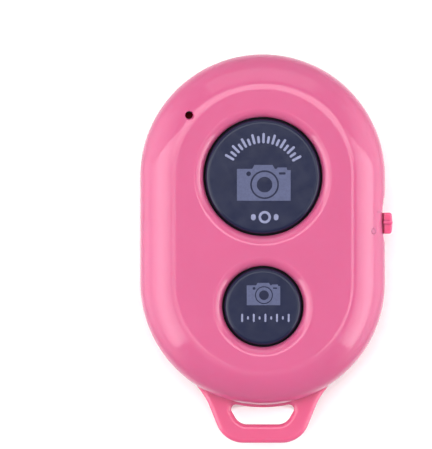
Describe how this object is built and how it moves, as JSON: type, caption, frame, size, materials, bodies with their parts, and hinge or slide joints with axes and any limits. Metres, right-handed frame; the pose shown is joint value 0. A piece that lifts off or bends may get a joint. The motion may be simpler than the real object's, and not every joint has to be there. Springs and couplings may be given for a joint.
{
  "type": "wireless camera shutter remote",
  "caption": "Pink handheld wireless shutter remote with two round navy buttons, a side power switch, a coin cell behind a rear door and a lanyard loop.",
  "frame": {"origin": "middle of the body's stadium outline, on the flat back face that the remote rests on", "axes": "+Z out of the button panel, +Y towards the indicator-light end, -Y towards the lanyard loop, +X towards the side power switch"},
  "size_m": [0.0401, 0.0619, 0.012],
  "materials": {
    "front_pink": "glossy moulded pink ABS",
    "rear_pink": "glossy moulded pink ABS",
    "door_pink": "glossy moulded pink ABS",
    "knob_pink": "satin moulded deep pink ABS",
    "cap_navy": "satin moulded dark slate blue plastic",
    "board_green": "solder-masked glass laminate",
    "copper_gold": "gold-flashed copper",
    "screw_steel": "zinc-plated steel",
    "switch_black": "moulded black nylon",
    "switch_ivory": "moulded ivory nylon",
    "spring_steel": "thin sprung stainless steel",
    "tin": "tinned terminal",
    "chip_black": "moulded epoxy",
    "capacitor_tan": "sintered ceramic",
    "led_resin": "cast resin",
    "cell_steel": "nickel-plated steel",
    "pellet_grey": "pressed electrode",
    "gasket_black": "moulded seal"
  },
  "bodies": {
    "housing": {"front_shell": "front_pink", "rear_shell": "rear_pink", "circuit_board": "board_green", "board_antenna": "copper_gold", "test_pads": "copper_gold", "case_screws": "screw_steel", "large_switch_base": "switch_black", "large_switch_dome": "spring_steel", "large_switch_cover": "spring_steel", "small_switch_base": "switch_black", "small_switch_dome": "spring_steel", "small_switch_cover": "spring_steel", "slide_switch_base": "switch_black", "slide_switch_frame": "spring_steel", "slide_switch_pins": "tin", "radio_chip": "chip_black", "memory_chip": "chip_black", "crystal": "tin", "chip_capacitors": "capacitor_tan", "chip_resistors": "chip_black", "indicator_led": "led_resin", "negative_contact": "copper_gold", "positive_contact": "copper_gold"},
    "large_push": {"large_button": "cap_navy", "large_switch_stem": "switch_ivory"},
    "small_push": {"small_button": "cap_navy", "small_switch_stem": "switch_ivory"},
    "power_slide": {"power_knob": "knob_pink", "slide_switch_lever": "switch_ivory"},
    "door": {"battery_door": "door_pink"},
    "cell": {"cell_can": "cell_steel", "cell_pellet": "pellet_grey", "cell_gasket": "gasket_black", "cell_cap": "cell_steel"}
  },
  "joints": [
    {"name": "large_press", "type": "slide", "parent": "housing", "child": "large_push", "axis": [0, 0, -1], "range_m": [0, 0.0003], "stiffness_N_per_m": 4000, "springref_m": -0.0001, "deforming": ["large_switch_dome"]},
    {"name": "small_press", "type": "slide", "parent": "housing", "child": "small_push", "axis": [0, 0, -1], "range_m": [0, 0.0003], "stiffness_N_per_m": 4000, "springref_m": -0.0001, "deforming": ["small_switch_dome"]},
    {"name": "power_travel", "type": "slide", "parent": "housing", "child": "power_slide", "axis": [0, 1, 0], "range_m": [0, 0.0015]},
    {"name": "door_lift", "type": "slide", "parent": "housing", "child": "door", "axis": [0, 0, -1], "range_m": [0, 0.03]},
    {"name": "cell_lift", "type": "slide", "parent": "housing", "child": "cell", "axis": [0, 0, -1], "range_m": [0, 0.015]}
  ],
  "couplings": [
    {"joint": "cell_lift", "follows": "door_lift", "ratio": 0.5}
  ]
}
